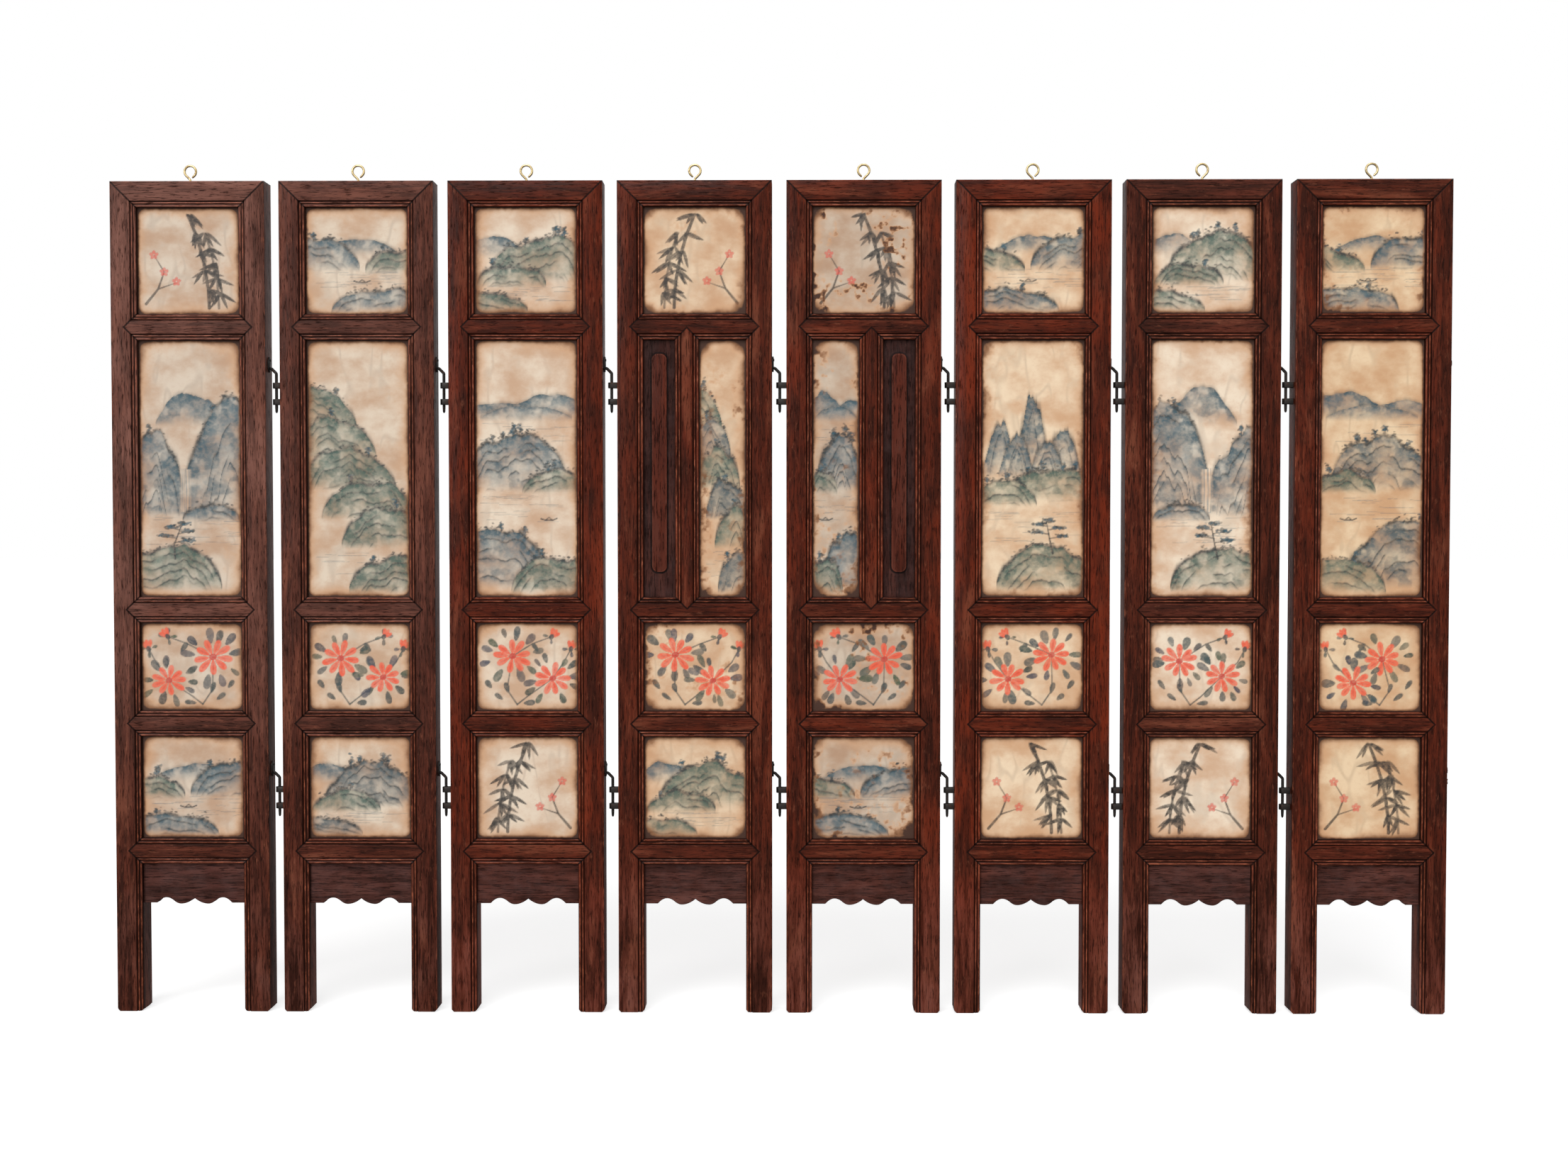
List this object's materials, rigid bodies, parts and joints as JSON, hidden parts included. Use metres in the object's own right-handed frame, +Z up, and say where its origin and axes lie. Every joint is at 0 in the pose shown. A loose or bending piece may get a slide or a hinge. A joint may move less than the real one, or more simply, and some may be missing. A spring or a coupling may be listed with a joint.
{
  "type": "chinese table screen",
  "caption": "Folding table screen: narrow hinged hardwood frame panels with painted stone plaques, scalloped aprons and small screw eyes on top.",
  "frame": {"origin": "under the middle of the row, on the surface that the legs stand on", "axes": "+X along the row from the first panel to the last, -Y is the painted front, +Z up"},
  "size_m": [0.7578, 0.014, 0.4812],
  "materials": {
    "frame_wood": "satin, waxed dark hardwood",
    "board_wood": "dull, waxed dark hardwood",
    "painted_stone": "matt cream marble with painted decoration",
    "brass_wire": "polished wire",
    "black_iron": "dull black iron"
  },
  "bodies": {
    "panel_1": {"panel_1_stiles": "frame_wood", "panel_1_rails": "frame_wood", "panel_1_plaques": "painted_stone", "panel_1_apron": "board_wood", "panel_1_screw_eye": "brass_wire", "panel_1_hinge_hooks": "black_iron", "panel_1_hinge_knuckles": "black_iron"},
    "panel_2": {"panel_2_stiles": "frame_wood", "panel_2_rails": "frame_wood", "panel_2_plaques": "painted_stone", "panel_2_apron": "board_wood", "panel_2_screw_eye": "brass_wire", "panel_2_hinge_hooks": "black_iron", "panel_2_hinge_knuckles": "black_iron"},
    "panel_3": {"panel_3_stiles": "frame_wood", "panel_3_rails": "frame_wood", "panel_3_plaques": "painted_stone", "panel_3_apron": "board_wood", "panel_3_screw_eye": "brass_wire", "panel_3_hinge_hooks": "black_iron", "panel_3_hinge_knuckles": "black_iron"},
    "panel_4": {"panel_4_stiles": "frame_wood", "panel_4_rails": "frame_wood", "panel_4_plaques": "painted_stone", "panel_4_apron": "board_wood", "panel_4_screw_eye": "brass_wire", "panel_4_hinge_hooks": "black_iron", "panel_4_hinge_knuckles": "black_iron", "panel_4_mullion": "frame_wood", "panel_4_blind_board": "board_wood"},
    "panel_5": {"panel_5_stiles": "frame_wood", "panel_5_rails": "frame_wood", "panel_5_plaques": "painted_stone", "panel_5_apron": "board_wood", "panel_5_screw_eye": "brass_wire", "panel_5_hinge_hooks": "black_iron", "panel_5_hinge_knuckles": "black_iron", "panel_5_mullion": "frame_wood", "panel_5_blind_board": "board_wood"},
    "panel_6": {"panel_6_stiles": "frame_wood", "panel_6_rails": "frame_wood", "panel_6_plaques": "painted_stone", "panel_6_apron": "board_wood", "panel_6_screw_eye": "brass_wire", "panel_6_hinge_hooks": "black_iron", "panel_6_hinge_knuckles": "black_iron"},
    "panel_7": {"panel_7_stiles": "frame_wood", "panel_7_rails": "frame_wood", "panel_7_plaques": "painted_stone", "panel_7_apron": "board_wood", "panel_7_screw_eye": "brass_wire", "panel_7_hinge_hooks": "black_iron", "panel_7_hinge_knuckles": "black_iron"},
    "panel_8": {"panel_8_stiles": "frame_wood", "panel_8_rails": "frame_wood", "panel_8_plaques": "painted_stone", "panel_8_apron": "board_wood", "panel_8_screw_eye": "brass_wire", "panel_8_hinge_hooks": "black_iron", "panel_8_hinge_knuckles": "black_iron"}
  },
  "joints": [
    {"name": "fold_4_5", "type": "hinge", "parent": "panel_4", "child": "panel_5", "pos_m": [0.0003, 0, 0.25], "axis": [0, 0, 1], "range_deg": [-58, 58]},
    {"name": "fold_3_4", "type": "hinge", "parent": "panel_4", "child": "panel_3", "pos_m": [-0.0951, 0, 0.25], "axis": [0, 0, 1], "range_deg": [-58, 58]},
    {"name": "fold_5_6", "type": "hinge", "parent": "panel_5", "child": "panel_6", "pos_m": [0.0957, 0, 0.25], "axis": [0, 0, -1], "range_deg": [-58, 58]},
    {"name": "fold_2_3", "type": "hinge", "parent": "panel_3", "child": "panel_2", "pos_m": [-0.1905, 0, 0.25], "axis": [0, 0, -1], "range_deg": [-58, 58]},
    {"name": "fold_6_7", "type": "hinge", "parent": "panel_6", "child": "panel_7", "pos_m": [0.1911, 0, 0.25], "axis": [0, 0, 1], "range_deg": [-58, 58]},
    {"name": "fold_1_2", "type": "hinge", "parent": "panel_2", "child": "panel_1", "pos_m": [-0.2859, 0, 0.25], "axis": [0, 0, 1], "range_deg": [-58, 58]},
    {"name": "fold_7_8", "type": "hinge", "parent": "panel_7", "child": "panel_8", "pos_m": [0.2865, 0, 0.25], "axis": [0, 0, -1], "range_deg": [-58, 58]}
  ]
}
